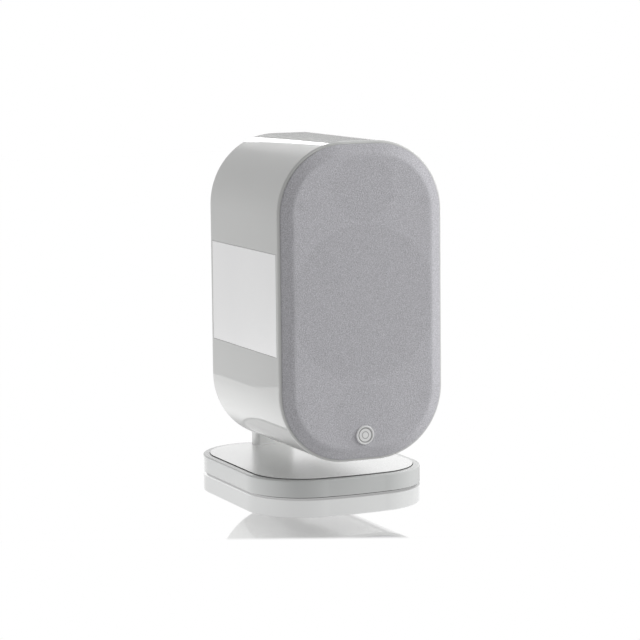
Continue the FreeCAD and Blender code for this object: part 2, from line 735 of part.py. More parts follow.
def binding_knob(side):
    """Fluted knob on the stud, open at its end for a plug."""
    y = TERM_FACE + INSULATOR_T + 2 * BODY_GAP + WASHER_T
    x = side * TERM_X
    knob = turned([(STUD_R + RUNNING, y), (KNOB_R - 0.6, y), (KNOB_R, y + 0.6), (KNOB_R, y + KNOB_L - 1.0),
                   (KNOB_R - 1.0, y + KNOB_L), (STUD_R + RUNNING, y + KNOB_L)], x, TERM_Z)
    flutes = [rod_y(1.0, y + 2.0, y + KNOB_L + 1, x + dx, TERM_Z + dz)
              for dx, dz in around(FLUTES, KNOB_R + 0.4)]
    return cut_all(knob, flutes)


# Tilting bracket

def mount_bracket():
    """Plate on the cabinet's back with two ears for the tilt bolt."""
    plate = upright(BRACKET_W, BRACKET_W, 8.0, BACK, BACK + BRACKET_T)
    for side in (1, -1):
        x0 = min(side * EAR_X, side * (EAR_X + EAR_T))
        eye = Part.makeCylinder(EAR_R, EAR_T, V(x0, TILT_Y, ZC), V(1, 0, 0))
        arm = box(x0, x0 + EAR_T, BACK + BRACKET_T - 1, TILT_Y, ZC - EAR_R, ZC + EAR_R)
        plate = plate.fuse(arm.fuse(eye))
    bore = Part.makeCylinder(TILT_R, 2 * (EAR_X + EAR_T) + 2, V(-EAR_X - EAR_T - 1, TILT_Y, ZC), V(1, 0, 0))
    return cut_all(plate.cut(bore), bracket_screw_spaces())


def bracket_screws():
    return Part.makeCompound([screw_y(MEDIUM, BACK + BRACKET_T, BRACKET_SCREW_L - MEDIUM[2], x, z, -1)
                              for x, z in BRACKET_SCREWS])


def tilt_bolt():
    outer = EAR_X + EAR_T
    shank = Part.makeCylinder(TILT_R, 2 * outer + 4.0, V(-outer - 4.0, TILT_Y, ZC), V(1, 0, 0))
    head = Part.makeCylinder(EAR_R - 2.0, 4.0, V(outer, TILT_Y, ZC), V(1, 0, 0))
    return shank.fuse(head)


def hexagon_x(radius, x0, x1):
    points = [V(x0, TILT_Y + y, ZC + z) for y, z in around(6, radius)]
    return Part.Face(Part.makePolygon(points + points[:1])).extrude(V(x1 - x0, 0, 0))


def tilt_nut():
    outer = EAR_X + EAR_T
    return hexagon_x(EAR_R - 1.5, -outer - 3.5, -outer).cut(
        Part.makeCylinder(TILT_R, 8.0, V(-outer - 4.0, TILT_Y, ZC), V(1, 0, 0)))


# Swivel head

HEAD_Z = COLUMN_TOP + BODY_GAP
PIN_LOW = COLUMN_TOP - PAN_L


def swivel_head():
    """Block on the column with a lug that carries the tilt bolt."""
    block = lying(HEAD_W, COLUMN_D, COLUMN_R, HEAD_Z, ZC + EAR_R, COLUMN_Y)
    lug = Part.makeCylinder(EAR_R, 2 * LUG_HALF, V(-LUG_HALF, TILT_Y, ZC), V(1, 0, 0))
    arm = box(-LUG_HALF, LUG_HALF, TILT_Y, COLUMN_Y, ZC - EAR_R, ZC + EAR_R)
    bore = Part.makeCylinder(TILT_R + RUNNING, 2 * LUG_HALF + 2, V(-LUG_HALF - 1, TILT_Y, ZC), V(1, 0, 0))
    pin_hole = Part.makeCylinder(PAN_R, 10.0, V(0, COLUMN_Y, HEAD_Z - 1))
    return block.fuse(arm.fuse(lug)).cut(bore).cut(pin_hole)


def pan_pin():
    """Steel pin fixed in the head; it turns in the column's bush."""
    return Part.makeCylinder(PAN_R, PAN_L + 9.0 + BODY_GAP, V(0, COLUMN_Y, PIN_LOW))


def friction_washers():
    rings = []
    for side in (1, -1):
        x0 = min(side * LUG_HALF, side * (LUG_HALF + FRICTION_T))
        disc = Part.makeCylinder(EAR_R - 1.0, FRICTION_T, V(x0, TILT_Y, ZC), V(1, 0, 0))
        rings.append(disc.cut(Part.makeCylinder(TILT_R + RUNNING, 4.0, V(x0 - 1, TILT_Y, ZC), V(1, 0, 0))))
    return Part.makeCompound(rings)


# Stand

def base_outline(inset, z0, z1):
    """The base's plan, drawn in by inset: a rounded rectangle with a slightly bowed front edge."""
    half_w = BASE_W / 2 - inset
    front = -BASE_FRONT + inset
    rear = BASE_D - BASE_FRONT - inset
    r = BASE_R - inset
    k = r * (1 - cos(pi / 4))
    bulge = FRONT_BULGE * 0.5
    p = [V(half_w, front + r, z0), V(half_w, rear - r, z0), V(half_w - r, rear, z0), V(r - half_w, rear, z0),
         V(-half_w, rear - r, z0), V(-half_w, front + r, z0), V(r - half_w, front, z0),
         V(half_w - r, front, z0)]
    edges = [Part.makeLine(p[0], p[1]), Part.Arc(p[1], V(half_w - k, rear - k, z0), p[2]).toShape(),
             Part.makeLine(p[2], p[3]), Part.Arc(p[3], V(k - half_w, rear - k, z0), p[4]).toShape(),
             Part.makeLine(p[4], p[5]), Part.Arc(p[5], V(k - half_w, front + k, z0), p[6]).toShape(),
             Part.Arc(p[6], V(0, front - bulge, z0), p[7]).toShape(),
             Part.Arc(p[7], V(half_w - k, front + k, z0), p[0]).toShape()]
    return Part.Face(Part.Wire(edges)).extrude(V(0, 0, z1 - z0))


PAD_TOP = BASE_H + PAD_RISE
PAD_LOW = BASE_H - PAD_T
COLUMN_BOLTS = [(-COLUMN_W / 3.5, COLUMN_Y), (COLUMN_W / 3.5, COLUMN_Y)]
COLUMN_BOLT_L = 22.0
BALLAST_SCREWS = [(sx * BASE_W / 3.2, BASE_MID + sy * BASE_D / 3.4) for sx in (1, -1) for sy in (1, -1)]
BALLAST_SCREW_L = MAT_T + BALLAST_T + 2.0 - SMALL[2]


def column_bolt_spaces():
    return [screw_up_space(LARGE, MAT_T, COLUMN_BOLT_L, x, y) for x, y in COLUMN_BOLTS]


def ballast_screw_spaces():
    return [screw_up_space(SMALL, MAT_T, BALLAST_SCREW_L, x, y) for x, y in BALLAST_SCREWS]


def base_plate():
    plate = base_outline(0.0, MAT_T, BASE_H)
    top = [e for e in plate.Edges if abs(e.BoundBox.ZMin - BASE_H) < 1e-6 and e.BoundBox.ZLength < 1e-6]
    plate = plate.makeFillet(BASE_EDGE_R, top)
    plate = plate.cut(base_outline(PAD_INSET, PAD_LOW, BASE_H + 1))
    plate = plate.cut(base_outline(BALLAST_INSET, MAT_T - 1, MAT_T + BALLAST_T))
    return cut_all(plate, column_bolt_spaces() + ballast_screw_spaces())


def base_inset_pad():
    pad = base_outline(PAD_INSET + PAD_GAP, PAD_LOW, PAD_TOP)
    return pad.cut(lying(COLUMN_W + 0.2, COLUMN_D + 0.2, COLUMN_R + 0.1, PAD_LOW - 1, PAD_TOP + 1, COLUMN_Y))


def ballast_plate():
    slab = base_outline(BALLAST_INSET + 0.3, MAT_T, MAT_T + BALLAST_T)
    return cut_all(slab, column_bolt_spaces() + ballast_screw_spaces())


def ballast_screws():
    return Part.makeCompound([screw_up(SMALL, MAT_T, BALLAST_SCREW_L, x, y) for x, y in BALLAST_SCREWS])


def foot_mat():
    return base_outline(MAT_INSET, 0.0, MAT_T)


def column():
    """Upright behind the cabinet, standing on the base plate, with the swivel's seat in its top."""
    post = lying(COLUMN_W, COLUMN_D, COLUMN_R, PAD_LOW, COLUMN_TOP, COLUMN_Y)
    seat = Part.makeCylinder(PAN_R + BUSH_T, PAN_L + 1, V(0, COLUMN_Y, PIN_LOW - 1))
    return cut_all(post.cut(seat), column_bolt_spaces())


def column_screws():
    return Part.makeCompound([screw_up(LARGE, MAT_T, COLUMN_BOLT_L, x, y) for x, y in COLUMN_BOLTS])


def pan_bush():
    bush = Part.makeCylinder(PAN_R + BUSH_T, PAN_L - 1.0, V(0, COLUMN_Y, PIN_LOW + 1.0))
    return bush.cut(Part.makeCylinder(PAN_R + RUNNING, PAN_L + 2, V(0, COLUMN_Y, PIN_LOW - 1)))


# Grille

def bevelled(inset, face_y):
    """Flat-fronted block with a broad bevel all round, drawn in by inset."""
    width = CAB_W - 2 * RIM_R - 2 * inset
    height = CAB_H - 2 * RIM_R - 2 * inset
    radius = CAB_R - RIM_R - inset
    edge = GRILLE_BACK - GRILLE_EDGE
    body = upright(width, height, radius, edge, GRILLE_BACK)
    cut_in = GRILLE_BEVEL_W
    wires = [rounded_outline(width, height, radius, lambda u, v: V(u, edge, ZC + v)),
             rounded_outline(width - 2 * cut_in, height - 2 * cut_in, radius - cut_in,
                             lambda u, v: V(u, face_y, ZC + v))]
    return body.fuse(Part.makeLoft(wires, True, True))


FRAME_FACE = GRILLE_FACE + CLOTH_T
BADGE_Z = ZC - CAB_H / 2 + BADGE_UP
OPENING_R = WOOFER_R - OPENING_LAP


def grille_frame():
    frame = bevelled(CLOTH_T, FRAME_FACE)
    y0 = FRAME_FACE - 1
    y1 = GRILLE_BACK + 1
    frame = frame.cut(rod_y(OPENING_R, y0, y1)).cut(rod_y(SMALL_OPENING_R, y0, y1, 0, TWEETER_Z))
    web = rod_y(BADGE_R + BADGE_WEB, y0 - 1, y1 + 1, 0, BADGE_Z)
    frame = frame.cut(rod_y(SMALL_OPENING_R, y0, y1, 0, PORT_Z).cut(web))
    for x, z in PEGS:
        frame = frame.fuse(rod_y(PEG_R, GRILLE_BACK - 1, GRILLE_BACK + PEG_L, x, z))
    return frame


def grille_cloth():
    return bevelled(0.0, GRILLE_FACE).cut(bevelled(CLOTH_T, FRAME_FACE))


def grille_badge():
    """Plain turned disc with a raised rim."""
    y = GRILLE_FACE
    return turned([(0.0, y), (BADGE_R, y), (BADGE_R, y - BADGE_T * 0.6), (BADGE_R - 0.4, y - BADGE_T),
                   (BADGE_R - 1.0, y - BADGE_T), (BADGE_R - 1.4, y - BADGE_T * 0.6),
                   (0.0, y - BADGE_T * 0.75)],
                  0, BADGE_Z)


def main():
    os.makedirs("parts", exist_ok=True)
    outer = cabinet_outer()
    nodes = {
        "cabinet_shell": cabinet_shell(outer),
        "side_panel_left": side_panel(outer, -1),
        "side_panel_right": side_panel(outer, 1),
    }
    makers = [baffle_gasket, front_baffle, baffle_screws, grille_grommets, woofer_gasket, woofer_basket,
              woofer_trim_ring, driver_screws, woofer_front_plate, woofer_magnet, woofer_yoke,
              woofer_surround,
              woofer_spider, woofer_cone, woofer_dust_cap, woofer_voice_coil, tweeter_faceplate,
              tweeter_front_plate, tweeter_magnet, tweeter_yoke, tweeter_surround, tweeter_dome,
              tweeter_voice_coil, port_tube, acoustic_wadding, crossover_board, crossover_standoffs,
              crossover_coils, crossover_capacitors, woofer_wires, tweeter_wires,
              terminal_plate, terminal_screws, terminal_studs, terminal_nuts, mount_bracket,
              bracket_screws, tilt_bolt, tilt_nut, swivel_head, pan_pin, friction_washers, base_plate,
              base_inset_pad, ballast_plate, ballast_screws, foot_mat, column, column_screws, pan_bush,
              grille_frame, grille_cloth, grille_badge]
    for maker in makers:
        nodes[maker.__name__] = maker()
    nodes["clamp_washer_red"] = clamp_washer(1)
    nodes["clamp_washer_black"] = clamp_washer(-1)
    nodes["binding_knob_red"] = binding_knob(1)
    nodes["binding_knob_black"] = binding_knob(-1)
    for name, shape in nodes.items():
        save(name, shape)


main()
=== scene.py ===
"""Looks of the bookshelf speaker: the finish of every piece, the soft parts, the light and the camera."""

import logging
import math
from dataclasses import dataclass
from enum import Enum
from typing import Dict, List, Optional, Sequence, Tuple, Union

import bmesh
import bpy
import numpy as np
from mathutils import Matrix, Vector

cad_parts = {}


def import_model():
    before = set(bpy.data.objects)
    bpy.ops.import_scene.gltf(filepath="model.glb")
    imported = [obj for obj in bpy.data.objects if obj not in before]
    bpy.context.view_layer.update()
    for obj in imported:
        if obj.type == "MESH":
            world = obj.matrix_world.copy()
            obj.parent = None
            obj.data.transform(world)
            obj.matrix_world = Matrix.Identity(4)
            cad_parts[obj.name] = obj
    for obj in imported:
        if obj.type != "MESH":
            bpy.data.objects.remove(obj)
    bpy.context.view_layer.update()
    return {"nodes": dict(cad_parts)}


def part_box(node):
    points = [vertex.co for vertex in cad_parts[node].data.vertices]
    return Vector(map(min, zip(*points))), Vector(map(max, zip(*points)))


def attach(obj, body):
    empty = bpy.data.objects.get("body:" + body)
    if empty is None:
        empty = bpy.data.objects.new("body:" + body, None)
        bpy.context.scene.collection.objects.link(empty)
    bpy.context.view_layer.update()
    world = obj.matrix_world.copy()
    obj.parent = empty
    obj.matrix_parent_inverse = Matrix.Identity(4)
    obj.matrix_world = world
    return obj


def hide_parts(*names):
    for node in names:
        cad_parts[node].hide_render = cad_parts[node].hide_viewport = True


log = logging.getLogger("speaker")
Color = Tuple[float, float, float]
Pair = Tuple[float, float]
WHITE = (1.0, 1.0, 1.0)
MERGE = 1e-6
FULL_TURN = 2.0 * math.pi


class Socket:
    """A number socket that writes shader maths as plain expressions."""

    def __init__(self, graph: "Graph", out: bpy.types.NodeSocket) -> None:
        """Wrap one output socket of a graph."""
        self.graph = graph
        self.out = out

    def _math(self, operation: str, *values: Union["Socket", float]) -> "Socket":
        """Add one Math node."""
        return self.graph.math(operation, *values)

    def __add__(self, other: Union["Socket", float]) -> "Socket":
        """Sum."""
        return self._math("ADD", self, other)

    __radd__ = __add__

    def __sub__(self, other: Union["Socket", float]) -> "Socket":
        """Difference."""
        return self._math("SUBTRACT", self, other)

    def __rsub__(self, other: float) -> "Socket":
        """Difference, reflected."""
        return self._math("SUBTRACT", other, self)

    def __mul__(self, other: Union["Socket", float]) -> "Socket":
        """Product."""
        return self._math("MULTIPLY", self, other)

    __rmul__ = __mul__

    def __truediv__(self, other: Union["Socket", float]) -> "Socket":
        """Quotient."""
        return self._math("DIVIDE", self, other)

    def __pow__(self, power: float) -> "Socket":
        """Power."""
        return self._math("POWER", self, power)


class Graph:
    """Node tree of a material or of the world, filled through a single node method."""

    def __init__(self, owner: Union[bpy.types.Material, bpy.types.World]) -> None:
        """Take over the owner's node tree, emptied.

        Args:
            owner: the material or the world that the nodes belong to.
        """
        owner.use_nodes = True
        self.tree = owner.node_tree
        self.tree.nodes.clear()
        self._point: Optional[bpy.types.NodeSocket] = None

    def node(self, kind: str, settings: Optional[Dict[str, object]] = None,
             inputs: Optional[Dict[object, object]] = None) -> bpy.types.Node:
        """Add a node.

        Args:
            kind: node type without its ShaderNode prefix.
            settings: attributes of the node, set first.
            inputs: socket name or index to a value or a link.

        Returns:
            The new node.
        """
        made = self.tree.nodes.new("ShaderNode" + kind)
        for key, value in (settings or {}).items():
            setattr(made, key, value)
        for key, value in (inputs or {}).items():
            self.feed(made.inputs[key], value)
        return made

    def feed(self, socket: bpy.types.NodeSocket, value: object) -> None:
        """Link or set one input socket.

        Args:
            socket: the input.
            value: a link, or the value to set; a colour of three numbers becomes opaque.
        """
        if isinstance(value, Socket):
            value = value.out
        if isinstance(value, bpy.types.NodeSocket):
            self.tree.links.new(value, socket)
        elif isinstance(value, tuple) and len(value) == 3 and len(socket.default_value) == 4:
            socket.default_value = (*value, 1.0)
        else:
            socket.default_value = value

    def math(self, operation: str, *values: Union[Socket, float]) -> Socket:
        """Add a Math node and wrap its result."""
        made = self.node("Math", {"operation": operation}, dict(enumerate(values)))
        return Socket(self, made.outputs[0])

    def point(self) -> bpy.types.NodeSocket:
        """Place on the object, in metres."""
        if self._point is None:
            self._point = self.node("TexCoord").outputs["Object"]
        return self._point

    def axes(self, centre: Sequence[float] = (0.0, 0.0, 0.0)) -> Tuple[Socket, Socket, Socket]:
        """Object coordinates counted from a point.

        Args:
            centre: the point, in metres.

        Returns:
            One socket each for X, Y and Z.
        """
        moved = self.node("Mapping", {}, {"Vector": self.point(), "Location": tuple(-c for c in centre)})
        split = self.node("SeparateXYZ", {}, {0: moved.outputs[0]})
        return tuple(Socket(self, out) for out in split.outputs)

    def noise(self, scale: float, detail: float = 2.0,
              stretch: Sequence[float] = (1.0, 1.0, 1.0)) -> Socket:
        """Noise between 0 and 1.

        Args:
            scale: one over the width of its features in metres.
            detail: how many finer layers it has.
            stretch: scale along each axis, below 1 where the features are long.

        Returns:
            The noise as a number socket.
        """
        moved = self.node("Mapping", {}, {"Vector": self.point(), "Scale": tuple(stretch)})
        made = self.node("TexNoise", {}, {"Vector": moved.outputs[0], "Scale": scale, "Detail": detail})
        return Socket(self, made.outputs[0])

    def step(self, value: Socket, low: float, high: float) -> Socket:
        """Smooth step from 0 at low to 1 at high."""
        made = self.node("MapRange", {"interpolation_type": "SMOOTHSTEP"},
                         {"Value": value, "From Min": low, "From Max": high})
        return Socket(self, made.outputs[0])

    def tint(self, factor: Socket, first: Color, second: Color) -> bpy.types.NodeSocket:
        """Colour that goes from first to second with factor."""
        made = self.node("Mix", {"data_type": "RGBA"}, {0: factor, 6: first, 7: second})
        return made.outputs[2]

    def shades(self, factor: Socket, color: Color, tones: Pair) -> bpy.types.NodeSocket:
        """Colour that goes between two shades of one colour with factor."""
        return self.tint(factor, shaded(color, tones[0]), shaded(color, tones[1]))

    def glow(self, strength: Union[Socket, float]) -> bpy.types.NodeSocket:
        """White light of a given strength."""
        return self.node("Emission", {}, {"Color": WHITE, "Strength": strength}).outputs[0]


class Surface(Graph):
    """Node tree of one material round a Principled shader."""

    def __init__(self, name: str) -> None:
        """Start a material with only its shader and output.

        Args:
            name: name of the material.
        """
        self.material = bpy.data.materials.new(name)
        super().__init__(self.material)
        self.shader = self.node("BsdfPrincipled")
        self.node("OutputMaterial", {}, {0: self.shader.outputs[0]})

    def set(self, **values: object) -> None:
        """Set or link the shader's sockets, named with underscores for spaces."""
        for key, value in values.items():
            self.feed(self.shader.inputs[key.replace("_", " ")], value)

    def bump(self, height: Socket, distance: float) -> None:
        """Feed a height to the shader's normal; distance is the height's size in metres."""
        made = self.node("Bump", {}, {"Height": height, "Distance": distance, "Strength": 1.0})
        self.set(Normal=made.outputs[0])


def shaded(color: Color, factor: float) -> Color:
    """A colour made lighter or darker by factor."""
    return tuple(min(1.0, channel * factor) for channel in color)


@dataclass(frozen=True)
class Lacquer:
    """Polished clear-coated paint with a faint orange peel."""

    color: Color
    tones: Pair = (0.97, 1.015)
    roughness: float = 0.35
    spread: float = 0.1
    coat: float = 1.0
    coat_roughness: float = 0.036
    cloud_scale: float = 30.0
    smear_scale: float = 60.0
    peel_scale: float = 240.0
    peel: float = 0.000004

    def build(self, name: str) -> bpy.types.Material:
        """Make the paint cloudy in colour, smeared in gloss and dimpled in height, each by a noise.

        Args:
            name: name of the material.

        Returns:
            The material.
        """
        g = Surface(name)
        g.set(Base_Color=g.shades(g.noise(self.cloud_scale, 3.0), self.color, self.tones))
        g.set(Roughness=self.roughness + g.noise(self.smear_scale) * self.spread)
        g.set(Coat_Weight=self.coat, Coat_Roughness=self.coat_roughness)
        g.bump(g.noise(self.peel_scale, 1.0), self.peel)
        return g.material


class Grain(Enum):
    """Which way a satin metal was finished."""

    BLASTED = (1.0, 1.0, 1.0)
    ALONG_Y = (1.0, 0.03, 1.0)


@dataclass(frozen=True)
class Satin:
    """Satin metal or metallic film with a fine grain; where its top height is given, a band of painted
    shade darkens its side just under the top.
    """

    color: Color
    roughness: float = 0.34
    metallic: float = 1.0
    grain: Grain = Grain.BLASTED
    pitch: float = 0.0004
    depth: float = 0.000012
    tones: Pair = (0.95, 1.05)
    spread: float = 0.08
    cloud_scale: float = 25.0
    # top: height of the piece's top, under which the painted shade band lies; 0 for none.
    top: float = 0.0
    # edge: colour of the painted shade band, which stands in for the shadowed gap round the pad.
    edge: Color = (0.20, 0.20, 0.20)
    painted_shade_ends: Pair = (0.00015, 0.00005)

    def build(self, name: str) -> bpy.types.Material:
        """Make the finish: half of its mottling is a cloud and half is the grain, which is also its height.

        Args:
            name: name of the material.

        Returns:
            The material.
        """
        g = Surface(name)
        fine = g.noise(1.0 / self.pitch, 2.0, self.grain.value)
        cloud = g.noise(self.cloud_scale, 3.0)
        color = g.shades(cloud * 0.5 + fine * 0.5, self.color, self.tones)
        # Painted shade: the side just below the top is coloured dark, standing in for the shadowed gap
        # between the pad and the base's rim.
        if self.top > 0.0:
            _, _, z = g.axes()
            start, end = (self.top - below for below in self.painted_shade_ends)
            color = g.tint(1.0 - g.step(z, start, end), color, self.edge)
        g.set(Base_Color=color, Metallic=self.metallic)
        g.set(Roughness=self.roughness - self.spread / 2 + self.spread * fine)
        g.bump(fine, self.depth)
        return g.material


@dataclass(frozen=True)
class Turned:
    """Lathe-cut metal with rings round an axis along Y through a centre."""

    color: Color
    centre: Tuple[float, float, float]
    roughness: float = 0.26
    metallic: float = 1.0
    ring: float = 0.0004
    ring_share: float = 0.7
    depth: float = 0.000012
    tones: Pair = (0.92, 1.05)
    spread: float = 0.08
    worn_scale: float = 400.0

    def build(self, name: str) -> bpy.types.Material:
        """Make the finish; its height is a sine of the distance from the axis, roughened by noise.

        Args:
            name: name of the material.

        Returns:
            The material.
        """
        g = Surface(name)
        x, _, z = g.axes(self.centre)
        radius = (x * x + z * z) ** 0.5
        wave = g.math("SINE", radius * (FULL_TURN / self.ring)) * 0.5 + 0.5
        worn = g.noise(self.worn_scale)
        g.set(Base_Color=g.shades(worn, self.color, self.tones), Metallic=self.metallic)
        g.set(Roughness=self.roughness + worn * self.spread)
        g.bump(wave * self.ring_share + worn * (1.0 - self.ring_share), self.depth)
        return g.material


@dataclass(frozen=True)
class SpunBadge:
    """Spun disc: a bright rim, a dark groove inside it and a small bright eye in a dark line."""

    color: Color
    centre: Tuple[float, float, float]
    radius: float
    rim: float = 0.0014
    groove: float = 0.0009
    eye: float = 0.32
    eye_line: float = 0.0006
    line_share: float = 0.7
    soft: float = 0.0002
    tones: Pair = (1.0, 0.40)
    metallic: float = 0.45
    roughness: float = 0.30
    spread: float = 0.12
    dark_roughness: float = 0.2
    worn_scale: float = 400.0
    ring: float = 0.0005
    ring_share: float = 0.6
    step_up: float = 2.0
    depth: float = 0.000015

    def build(self, name: str) -> bpy.types.Material:
        """Make the finish; bands follow the distance from the disc's axis, and the dark ones lie lower.

        Args:
            name: name of the material.

        Returns:
            The material.
        """
        g = Surface(name)
        x, _, z = g.axes(self.centre)
        away = (x * x + z * z) ** 0.5
        inner = self.radius - self.rim
        start = inner - self.groove
        groove = g.step(away, start - self.soft, start) - g.step(away, inner - self.soft, inner)
        eye = self.radius * self.eye
        end = eye + self.eye_line
        line = g.step(away, eye - self.soft, eye) - g.step(away, end, end + self.soft)
        dark = g.math("MINIMUM", groove + line * self.line_share, 1.0)
        wave = g.math("SINE", away * (FULL_TURN / self.ring)) * 0.5 + 0.5
        g.set(Base_Color=g.shades(dark, self.color, self.tones), Metallic=self.metallic)
        worn = g.noise(self.worn_scale)
        g.set(Roughness=self.roughness + self.spread * worn + self.dark_roughness * dark)
        g.bump(wave * self.ring_share + (1.0 - dark) * self.step_up, self.depth)
        return g.material


@dataclass(frozen=True)
class Moulded:
    """Moulded plastic, rubber or coated board with a fine even texture."""

    color: Color
    roughness: float = 0.5
    texture: float = 0.0006
    depth: float = 0.00003
    coat: float = 0.0
    coat_roughness: float = 0.1
    tones: Pair = (0.88, 1.12)
    spread: float = 0.1
    cloud_scale: float = 40.0

    def build(self, name: str) -> bpy.types.Material:
        """Make the finish: a cloud varies its colour, and a fine noise its gloss and height.

        Args:
            name: name of the material.

        Returns:
            The material.
        """
        g = Surface(name)
        fine = g.noise(1.0 / self.texture, 3.0)
        g.set(Base_Color=g.shades(g.noise(self.cloud_scale), self.color, self.tones))
        g.set(Roughness=self.roughness - self.spread / 2 + self.spread * fine)
        g.set(Coat_Weight=self.coat, Coat_Roughness=self.coat_roughness)
        g.bump(fine, self.depth)
        return g.material


@dataclass(frozen=True)
class Pulp:
    """Pressed paper, silk or felt: short fibres in two directions."""

    color: Color
    fibre: float = 0.0012
    roughness: float = 0.85
    depth: float = 0.00006
    slimness: float = 0.25
    tones: Pair = (0.75, 1.2)
    sheen: float = 0.2
    sheen_roughness: float = 0.5

    def build(self, name: str) -> bpy.types.Material:
        """Make the finish: the larger of two noises, one drawn out along Z and one along X.

        Args:
            name: name of the material.

        Returns:
            The material.
        """
        g = Surface(name)
        upright = g.noise(1.0 / self.fibre, 2.0, (1.0, 1.0, self.slimness))
        level = g.noise(1.0 / self.fibre, 2.0, (self.slimness, 1.0, 1.0))
        fibres = g.math("MAXIMUM", upright, level)
        g.set(Base_Color=g.shades(fibres, self.color, self.tones), Roughness=self.roughness)
        g.set(Sheen_Weight=self.sheen, Sheen_Roughness=self.sheen_roughness)
        g.bump(fibres, self.depth)
        return g.material


@dataclass(frozen=True)
class Winding:
    """Enamelled wire wound in close turns along Y."""

    color: Color
    wire: float = 0.0005
    tones: Pair = (0.4, 1.0)
    metallic: float = 0.9
    roughness: float = 0.35
    spread: float = 0.1
    worn_scale: float = 300.0
    hump_share: float = 0.3

    def build(self, name: str) -> bpy.types.Material:
        """Make the finish; its height is the size of a sine along Y, one hump for each turn, and its colour
        darkens in the grooves between turns as painted shade.

        Args:
            name: name of the material.

        Returns:
            The material.
        """
        g = Surface(name)
        _, y, _ = g.axes()
        hump = g.math("ABSOLUTE", g.math("SINE", y * (math.pi / self.wire)))
        # Painted shade: the colour darkens towards the grooves between turns, where the height is low.
        g.set(Base_Color=g.shades(hump, self.color, self.tones), Metallic=self.metallic)
        g.set(Roughness=self.roughness + g.noise(self.worn_scale) * self.spread)
        g.bump(hump, self.wire * self.hump_share)
        return g.material


@dataclass(frozen=True)
class Knit:
    """Acoustic grille cloth: a fine knit, with painted shade where the frame's open parts and pegs lie
    behind it.
    """

    color: Color
    centre: Tuple[float, float, float]
    large: float
    small: float
    small_up: float
    pegs: Pair
    peg_radius: float = 0.0042
    soft: float = 0.0012
    painted_shade_shares: Tuple[float, float, float] = (0.8, 0.6, 0.9)
    # veil: how far the painted shade darkens the cloth over the large opening.
    veil: float = 0.05
    pitch: float = 0.00072
    row_ratio: float = 0.8
    drift: float = 5.0
    drift_scale: float = 120.0
    clump_scale: float = 1100.0
    lint_scale: float = 2200.0
    grain_shares: Tuple[float, float, float] = (0.25, 0.5, 0.25)
    contrast: Pair = (0.3, 0.72)
    tones: Pair = (0.70, 1.30)
    roughness: float = 0.86
    spread: float = 0.1
    sheen: float = 0.25
    sheen_roughness: float = 0.45
    specular: float = 0.25
    loft: float = 0.00035

    def build(self, name: str) -> bpy.types.Material:
        """Make the finish: speckled by its grain, and darkened by painted shade where the frame behind it
        is open.

        Args:
            name: name of the material.

        Returns:
            The material.
        """
        g = Surface(name)
        x, _, z = g.axes(self.centre)
        lint = g.noise(self.lint_scale)
        knit_share, clump_share, lint_share = self.grain_shares
        clump = g.noise(self.clump_scale)
        grain = self.loops(g, x, z) * knit_share + clump * clump_share + lint * lint_share
        # Painted shade: the colour is darkened over the frame's open parts and pegs, standing in for the
        # dark space seen through the knit.
        shade = 1.0 - self.painted_opening_shade(g, x, z) * self.veil
        speckle = g.shades(g.step(grain, *self.contrast), self.color, self.tones)
        grey = g.node("CombineXYZ", {}, {0: shade, 1: shade, 2: shade})
        dark = g.node("Mix", {"data_type": "RGBA", "blend_type": "MULTIPLY"},
                      {0: 1.0, 6: speckle, 7: grey.outputs[0]})
        g.set(Base_Color=dark.outputs[2], Roughness=self.roughness + self.spread * lint)
        g.set(Sheen_Weight=self.sheen, Sheen_Roughness=self.sheen_roughness)
        g.set(Specular_IOR_Level=self.specular)
        g.bump(grain, self.loft)
        return g.material

    def loops(self, g: Graph, x: Socket, z: Socket) -> Socket:
        """Loops of the knit: the product of two sines, whose phase a slow noise shifts.

        Args:
            g: the cloth's node tree.
            x: place across the front.
            z: place up the front.

        Returns:
            A number between 0 and 1.
        """
        turn = FULL_TURN / self.pitch
        drift = g.noise(self.drift_scale, 1.0) * self.drift
        columns = g.math("SINE", x * turn + drift)
        rows = g.math("SINE", z * turn * self.row_ratio - drift)
        return columns * rows * 0.5 + 0.5

    def painted_opening_shade(self, g: Graph, x: Socket, z: Socket) -> Socket:
        """Depth of the painted shade on the cloth: a disc over each opening of the frame and over each of
        its pegs.

        Args:
            g: the cloth's node tree.
            x: place across the front.
            z: place up the front.

        Returns:
            A number, 0 where the frame backs the cloth and 1 over the large opening.
        """
        upper, lower, peg = self.painted_shade_shares
        side = g.math("ABSOLUTE", x) - self.pegs[0]
        rise = g.math("ABSOLUTE", z) - self.pegs[1]
        driver = self.disc(g, x, z, self.large)
        top = self.disc(g, x, z - self.small_up, self.small)
        low = self.disc(g, x, z + self.small_up, self.small)
        dots = self.disc(g, side, rise, self.peg_radius)
        return driver + top * upper + low * lower + dots * peg

    def disc(self, g: Graph, u: Socket, v: Socket, radius: float) -> Socket:
        """1 inside a circle and 0 outside, with a soft edge."""
        away = (u * u + v * v) ** 0.5
        return 1.0 - g.step(away, radius - self.soft, radius + self.soft)


Finish = Union[Lacquer, Satin, Turned, SpunBadge, Moulded, Pulp, Winding, Knit]


def rounded_ring(half_u: float, half_v: float, radius: float, corner: int) -> np.ndarray:
    """Points of a rounded rectangle: four arcs of equal turns, with the straight sides between them.

    Args:
        half_u: half of the width.
        half_v: half of the height.
        radius: corner radius.
        corner: points on each corner arc.

    Returns:
        Array (4 * corner, 2), anticlockwise from the right side.
    """
    turns = np.linspace(0.0, np.pi / 2, corner)
    rings = []
    for quarter, (su, sv) in enumerate(((1, 1), (-1, 1), (-1, -1), (1, -1))):
        angle = turns + quarter * np.pi / 2
        rings.append(np.stack([su * (half_u - radius) + radius * np.cos(angle),
                               sv * (half_v - radius) + radius * np.sin(angle)], axis=1))
    return np.concatenate(rings)


